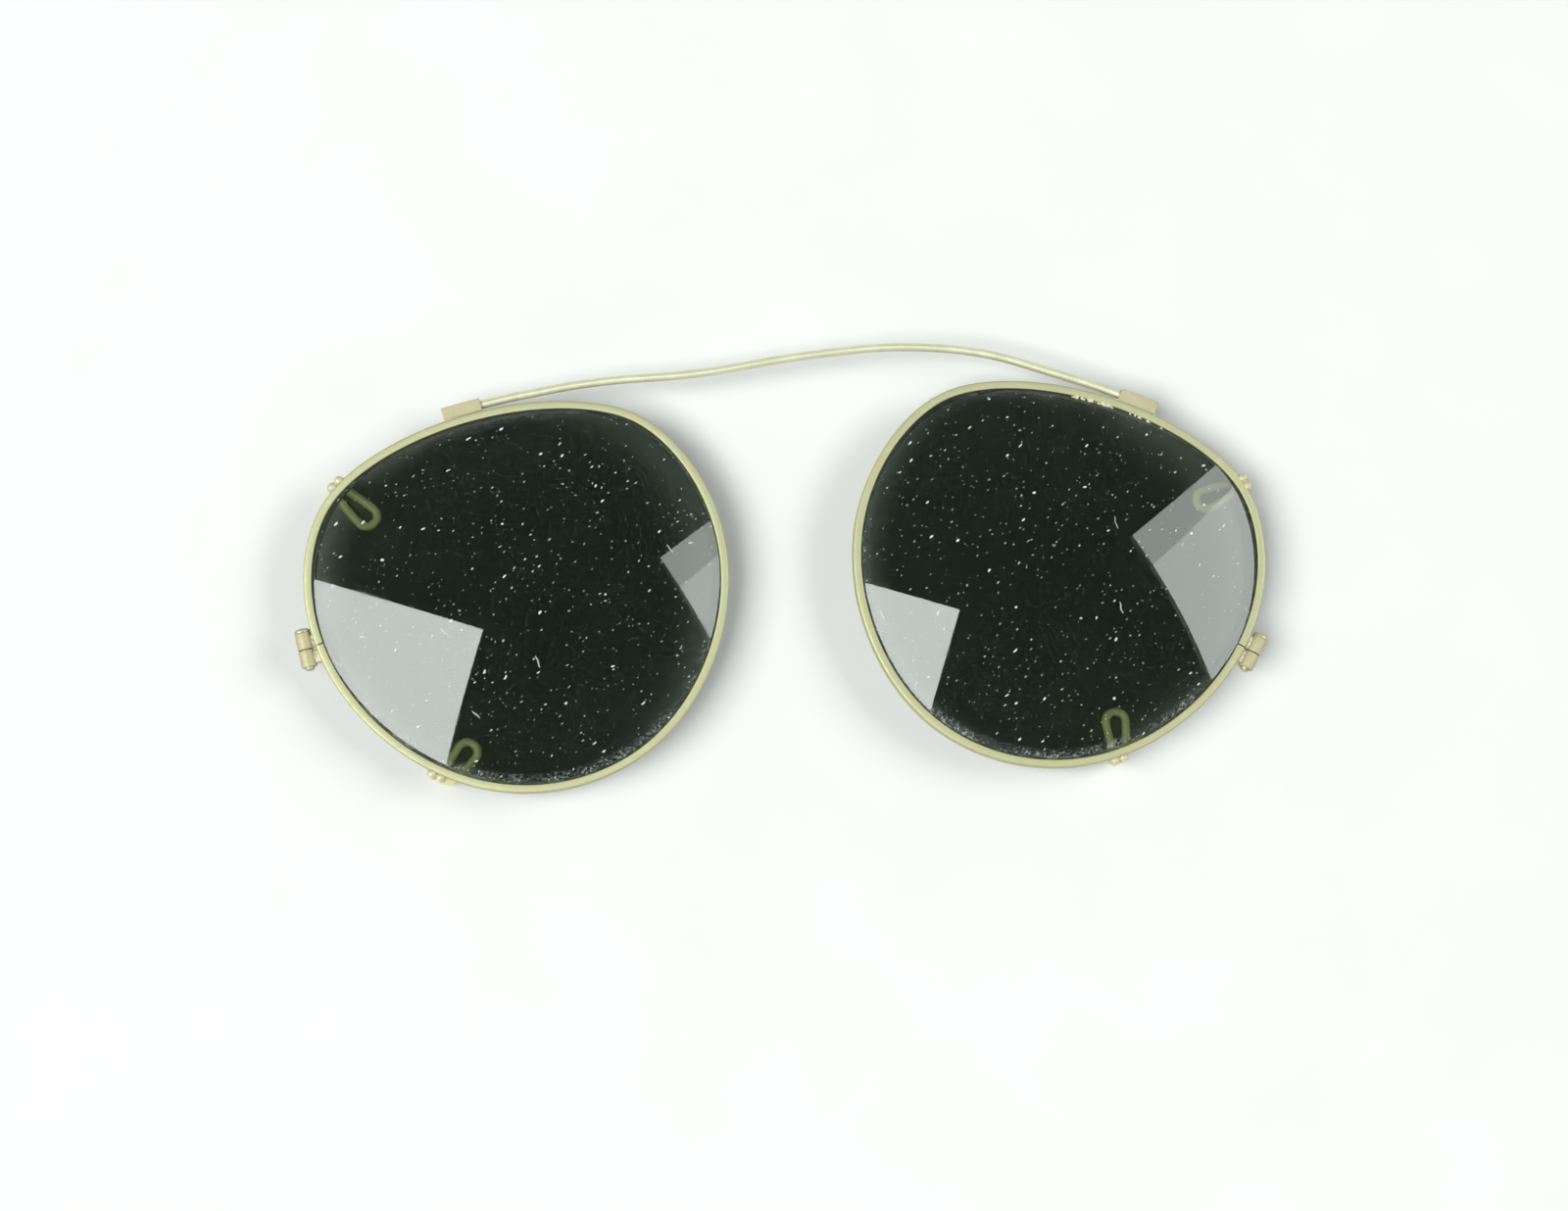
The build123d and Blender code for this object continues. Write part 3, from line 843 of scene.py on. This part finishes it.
def foot_lump(name, way):
    """Profile of the solder drawn up over one foot of a hook, rounded at both ends."""
    size = {("upper_hook", 1): 0.58, ("upper_hook", -1): 0.54}.get((name, way), 0.53)
    top = HOOK_FRONT + 0.10
    profile = [(0.04, -1.05), (size * 0.93, -1.0)]
    profile += [(size * (1 + 0.05 * math.sin(5 * z)), z) for z in (-0.8, -0.4, 0.0, 0.3)]
    profile += [(size * math.cos(a), top - size * 0.75 * (1 - math.sin(a)))
                for a in np.radians((0, 20, 40, 60, 75, 88))]
    return profile


def melt(piece):
    """Runs overlapping lumps into one smooth bead."""
    remesh = piece.modifiers.new("join", "REMESH")
    remesh.mode = "VOXEL"
    remesh.voxel_size = 0.00005
    smooth = piece.modifiers.new("melt", "SMOOTH")
    smooth.factor = 0.5
    smooth.iterations = 8
    bpy.context.view_layer.update()
    evaluated = piece.evaluated_get(bpy.context.evaluated_depsgraph_get())
    mesh = bpy.data.meshes.new_from_object(evaluated)
    piece.modifiers.clear()
    piece.data = mesh
    mesh.shade_smooth()


def hook_pieces(side, place):
    """Hairpin hooks with worn round feet, each foot pair in its own solder."""
    body = f"{side}_unit"
    for name, fitting in hook_names(side):
        matrix = place @ frame_at(fitting[0])
        corners = hook_leg(fitting, 1) + hook_leg(fitting, -1)[::-1]
        path = rounded_path(corners, HOOK_BENDS + HOOK_BENDS[::-1])
        points, faces, distance = tube(path, WIRE_RADIUS, FOOT_ROUND, 36,
                                       lambda s, a: 0.012 * math.sin(2.3 * s) * math.sin(3 * a))
        worn = [max(0.0, min(1.0, 1.6 - d / 0.9)) for d in distance]
        piece = to_object(f"{side}_{name}_hairpin", points, faces, matrix, 60, {"worn": worn})
        # The hooks get the brightened copy of the wire's metal: painted light.
        add(piece, body, "wire_metal", f"{side}_{name}", material=HOOK_METAL_PAINTED_BRIGHTER)

        rim_x = rim_line(frame_at(fitting[0]), fitting[0])
        rings = []
        for t in np.linspace(0, 1, 14):
            z = SEAT_BACK + (SEAT_FRONT - SEAT_BACK) * t
            full = math.sin(math.pi * min(max(t, 0.03), 0.97)) ** 0.35
            half_line = [(0.12, 0.30), (0.5, 0.45), (0.90, 0.34), (1.04, 0.24), (1.18, 0.10), (1.32, 0.0)]
            line = [(-y, rise) for y, rise in reversed(half_line)] + [(0.0, 0.26)] + half_line
            outer = [(rim_x(y) - 0.02 + rise * full, y * (0.9 + 0.1 * full), z) for y, rise in line]
            inner = [(rim_x(y) - 0.2, y * (0.9 + 0.1 * full), z) for y, _ in reversed(line)]
            rings.append(outer + inner)
        points, faces = loft(rings)
        for way in (-1, 1):
            more, more_faces = lathe(foot_lump(name, way), 40)
            faces += [tuple(i + len(points) for i in face) for face in more_faces]
            points += [(x + HOOK_OUT - 0.10, y + way * HOOK_PITCH / 2, z) for x, y, z in more]
        piece = to_object(f"{side}_{name}_seat", points, faces, matrix, 60)
        melt(piece)
        add(piece, body, "solder", f"{side}_{name}_solder")


def crumbs_piece(place):
    """Crusty old cement in the corner between the right rim and its lens, beside the block."""
    rng = random.Random(11)
    height = 0.78
    smallest = 0.09
    points, faces = [], []
    # Each crumb's cluster: its first and last angle, largest size and reach over the lens.
    clusters = [(101.0, 108.5, 0.33, 0.62)] * 46 + [(110.5, 117.0, 0.22, 0.6)] * 20
    for first, last, largest, reach in clusters:
        q = rng.uniform(first, last)
        size = rng.uniform(smallest, largest)
        x, y = outline(q, -RIM_HALF + 0.05 - rng.uniform(0.0, reach))
        ball = bmesh.new()
        bmesh.ops.create_icosphere(ball, subdivisions=2, radius=size)
        start = len(points)
        squash = rng.uniform(0.55, 0.9)
        for vertex in ball.verts:
            v = vertex.co * rng.uniform(0.88, 1.1)
            points.append((x + v.x, y + v.y, height + v.z * squash))
        faces += [tuple(start + v.index for v in face.verts) for face in ball.faces]
        ball.free()
    piece = to_object("right_cement_crumbs", points, faces, place, 70)
    add(piece, "right_unit", "solder", material=CRUMBS)


# ---- the wire between the units ----


def wire_end(side):
    """Where the wire stops in a block, and where it may first bend outside it."""
    matrix = unit_matrix(side) @ block_frame(side)
    mouth = -BLOCK[1] / 2
    return [matrix @ Vector((0, y, 0)) for y in (mouth + BRIDGE_INSERTION, mouth - BRIDGE_LEAD)]


def bridge_wire_piece():
    """Hard-drawn wire, sprung between the two blocks."""
    left, right = wire_end("left"), wire_end("right")
    middle = [Vector((x - BOX_MIDDLE[0], y - BOX_MIDDLE[1], BASE_HEIGHT)) for x, y in BRIDGE_ROUTE]
    corners = left + middle + right[::-1]
    radii = []
    for before, corner, after in zip(corners, corners[1:], corners[2:]):
        run_in, run_out = corner - before, after - corner
        half_turn = run_in.angle(run_out) / 2
        radii.append(0.45 * min(run_in.length, run_out.length) / math.tan(half_turn))
    points, faces, _ = tube(rounded_path(corners, radii, 0.3), WIRE_RADIUS, WIRE_END_ROUND, 48,
                            lambda s, a: 0.006 * math.sin(1.7 * s) * math.sin(2 * a))
    piece = to_object("sprung_bridge_wire", points, faces, Matrix.Identity(4), 60)
    add(piece, None, "wire_metal", "bridge_wire")
    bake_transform(piece)


for unit_side in ("left", "right"):
    unit_place = unit_matrix(unit_side)
    rim_piece(unit_side, unit_place)
    lens_piece(unit_side, unit_place)
    block_piece(unit_side, unit_place)
    block_solder_piece(unit_side, unit_place)
    closing_pieces(unit_side, unit_place)
    hook_pieces(unit_side, unit_place)
crumbs_piece(unit_matrix("right"))
bridge_wire_piece()

# ---- floor and light ----


def floor():
    """Plain pale paper, just under the hooks."""
    half_width, half_thickness, gap = 1500, 5, 0.02
    points, faces = box_mesh(half_width, half_width, half_thickness)
    piece = to_object("floor", points, faces, shift(0, 0, -half_thickness - gap))
    n = Nodes("floor")
    colour = n.mix(n.remap(n.noise(0.05, 4), 0.3, 0.7), (0.62, 0.62, 0.615), (0.64, 0.64, 0.635))
    surface = n.node("ShaderNodeBsdfPrincipled", Base_Color=colour, Roughness=0.85)
    piece.data.materials.append(n.finish(surface))


def area_light(name, middle, across, up, size, radiance, lit, shading=None):
    """Even soft box. across and up are the directions of its sides; its back is away from the
    spectacles. radiance is its brightness, whatever its size. lit is the collection it may light,
    and shading the one that may shade it."""
    data = bpy.data.lights.new(name, "AREA")
    data.shape = "RECTANGLE"
    data.size, data.size_y = size
    data.energy = radiance * math.pi * size[0] * size[1]
    data.color = (0.96, 1.0, 0.97)
    light = bpy.data.objects.new(name, data)
    across = Vector(across).normalized()
    back = across.cross(Vector(up)).normalized()
    if back.dot(Vector(middle)) < 0:
        across, back = -across, -back
    side = back.cross(across)
    turn = Matrix((across, side, back)).transposed().to_4x4()
    light.matrix_world = Matrix.Translation(middle) @ turn
    light.light_linking.receiver_collection = lit
    light.light_linking.blocker_collection = shading
    bpy.context.scene.collection.objects.link(light)


def overhead(name, corner, heading, turn, size, radiance, lit, shading=None):
    """Level soft box above the spectacles. corner is where its nearest corner is, heading the
    direction of one side (degrees) and turn the direction of the other one."""
    one = Vector((math.cos(math.radians(heading)), math.sin(math.radians(heading)), 0))
    other = Vector((math.cos(math.radians(turn)), math.sin(math.radians(turn)), 0))
    middle = Vector(corner) + one * size[0] / 2 + other * size[1] / 2
    area_light(name, middle, one, other, size, radiance, lit, shading)


def world():
    """Pale room: light round the sides, dark overhead, where the lenses would mirror it."""
    room = bpy.data.worlds.new("room")
    room.use_nodes = True
    tree = room.node_tree
    direction = tree.nodes.new("ShaderNodeTexCoord")
    parts = tree.nodes.new("ShaderNodeSeparateXYZ")
    level = tree.nodes.new("ShaderNodeMapRange")
    for socket, value in zip(level.inputs[1:5], (0.25, 0.6, 0.75, 0.05)):
        socket.default_value = value
    background = tree.nodes["Background"]
    background.inputs[0].default_value = (0.95, 0.98, 1.0, 1)
    tree.links.new(direction.outputs["Generated"], parts.inputs[0])
    tree.links.new(parts.outputs["Z"], level.inputs[0])
    tree.links.new(level.outputs[0], background.inputs[1])
    bpy.context.scene.world = room


floor()
world()
# The hooks lie in the dark under the glass, so they have panels of their own. These light nothing
# else, and only the hooks shade them.
hooks = bpy.data.collections.new("hooks")
not_hooks = bpy.data.collections.new("not_hooks")
for piece in bpy.context.scene.objects:
    if piece.name.endswith("_hairpin"):
        hooks.objects.link(piece)
        not_hooks.objects.link(piece)
for entry in not_hooks.collection_objects:
    entry.light_linking.link_state = "EXCLUDE"

HOOK_LIGHT = 1.1
panels = [
    ("left_panel", (-0.486, -0.021, 3.0), 160, 250, (3.0, 2.05), 11.5),
    ("right_panel_edge", (1.47, 0.735, 3.0), 35, -55, (3.2, 0.4), 5.0),
    ("right_panel", (1.70, 0.407, 3.0), 35, -55, (3.2, 2.1), 7.5),
]
for panel in panels:
    overhead(*panel, lit=not_hooks)
for name, corner, heading, turn, size, radiance in panels:
    overhead(name + "_for_hooks", corner, heading, turn, size, HOOK_LIGHT * radiance, hooks, hooks)
bpy.context.scene.view_settings.view_transform = "Standard"
